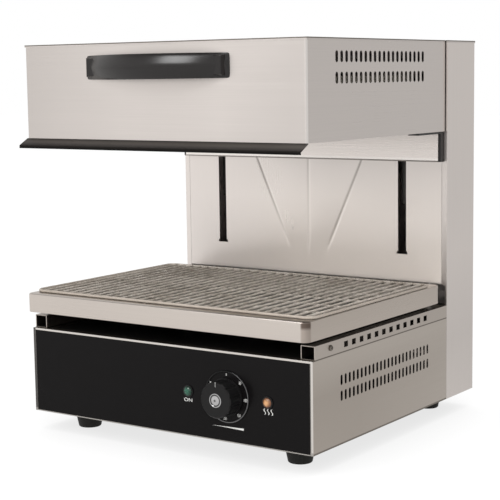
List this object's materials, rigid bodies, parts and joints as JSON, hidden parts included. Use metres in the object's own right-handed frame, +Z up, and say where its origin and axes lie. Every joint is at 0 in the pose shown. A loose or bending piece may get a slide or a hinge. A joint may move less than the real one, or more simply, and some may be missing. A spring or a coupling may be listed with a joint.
{
  "type": "cheese melter",
  "caption": "Countertop electric grill whose heated hood rides up and down a rear column over a wire grid and a pull-out drip tray.",
  "frame": {"origin": "on the table plane under the feet, at the middle of the overall width and depth", "axes": "+X to the right seen from the front, +Y to the back, +Z up; the front with the controls faces -Y"},
  "size_m": [0.4544, 0.491, 0.522],
  "materials": {
    "outer_steel": "satin stainless steel, fine vertical grain",
    "inner_steel": "galvanised sheet and bar",
    "panel_black": "glossy black",
    "black_metal": "satin black",
    "handle_plastic": "glossy black, moulded",
    "lamp_plastic": "black, moulded",
    "bright_trim": "bright plated",
    "polished_rod": "ground and polished",
    "green_glass": "translucent green",
    "amber_glass": "translucent amber",
    "foot_rubber": "black, moulded",
    "gland_nylon": "black, moulded",
    "terminal_nylon": "cream, moulded",
    "bush_brass": "turned",
    "block_aluminium": "machined",
    "screw_steel": "zinc plated",
    "reflector_steel": "bright, slightly heat tinted",
    "heat_blanket": "ceramic wool",
    "element_sheath": "heat-darkened sheath",
    "tray_steel": "satin stainless steel",
    "grid_wire": "stainless wire, dulled by heat"
  },
  "bodies": {
    "stand": {"base_shell": "outer_steel", "deck_plate": "black_metal", "base_floor": "inner_steel", "control_panel": "panel_black", "dial_plate": "panel_black", "dial_ring": "bright_trim", "thermostat": "inner_steel", "green_lens": "green_glass", "green_holder": "lamp_plastic", "amber_lens": "amber_glass", "amber_holder": "lamp_plastic", "foot_front_left": "foot_rubber", "foot_front_right": "foot_rubber", "foot_back_left": "foot_rubber", "foot_back_right": "foot_rubber", "foot_nuts": "screw_steel", "rail_left": "outer_steel", "rail_right": "outer_steel", "rail_screws": "screw_steel", "terminal_block": "terminal_nylon", "column_shell": "outer_steel", "column_front": "outer_steel", "column_cap": "outer_steel", "back_screws": "screw_steel", "cable_gland": "gland_nylon", "guide_rods": "polished_rod", "top_bar": "inner_steel", "low_bar": "inner_steel", "spring_shelf": "inner_steel", "gas_springs": "black_metal"},
    "knob": {"knob_body": "handle_plastic", "knob_cap": "bright_trim", "knob_spindle": "bright_trim"},
    "hood": {"hood_shell": "outer_steel", "hood_top": "outer_steel", "front_lip": "black_metal", "hood_back_plate": "outer_steel", "hood_brackets": "black_metal", "carriage_frame": "black_metal", "hood_arms": "inner_steel", "tie_plate": "inner_steel", "slider_blocks": "block_aluminium", "slider_bushes": "bush_brass", "gas_rods": "polished_rod", "reflector": "reflector_steel", "insulation": "heat_blanket", "element_front": "element_sheath", "element_middle": "element_sheath", "element_back": "element_sheath", "element_supports": "inner_steel", "handle": "handle_plastic", "handle_screws": "screw_steel"},
    "tray": {"drip_tray": "tray_steel"},
    "grid": {"wire_grid": "grid_wire"}
  },
  "joints": [
    {"name": "hood_lift", "type": "slide", "parent": "stand", "child": "hood", "axis": [0, 0, 1], "range_m": [-0.125, 0]},
    {"name": "knob_turn", "type": "hinge", "parent": "stand", "child": "knob", "pos_m": [0.1, -0.2055, 0.084], "axis": [0, -1, 0], "range_deg": [-280, 0]},
    {"name": "tray_pull", "type": "slide", "parent": "stand", "child": "tray", "axis": [0, -1, 0], "range_m": [0, 0.3]},
    {"name": "grid_lift", "type": "slide", "parent": "tray", "child": "grid", "axis": [0, 0, 1], "range_m": [0, 0.05]}
  ]
}
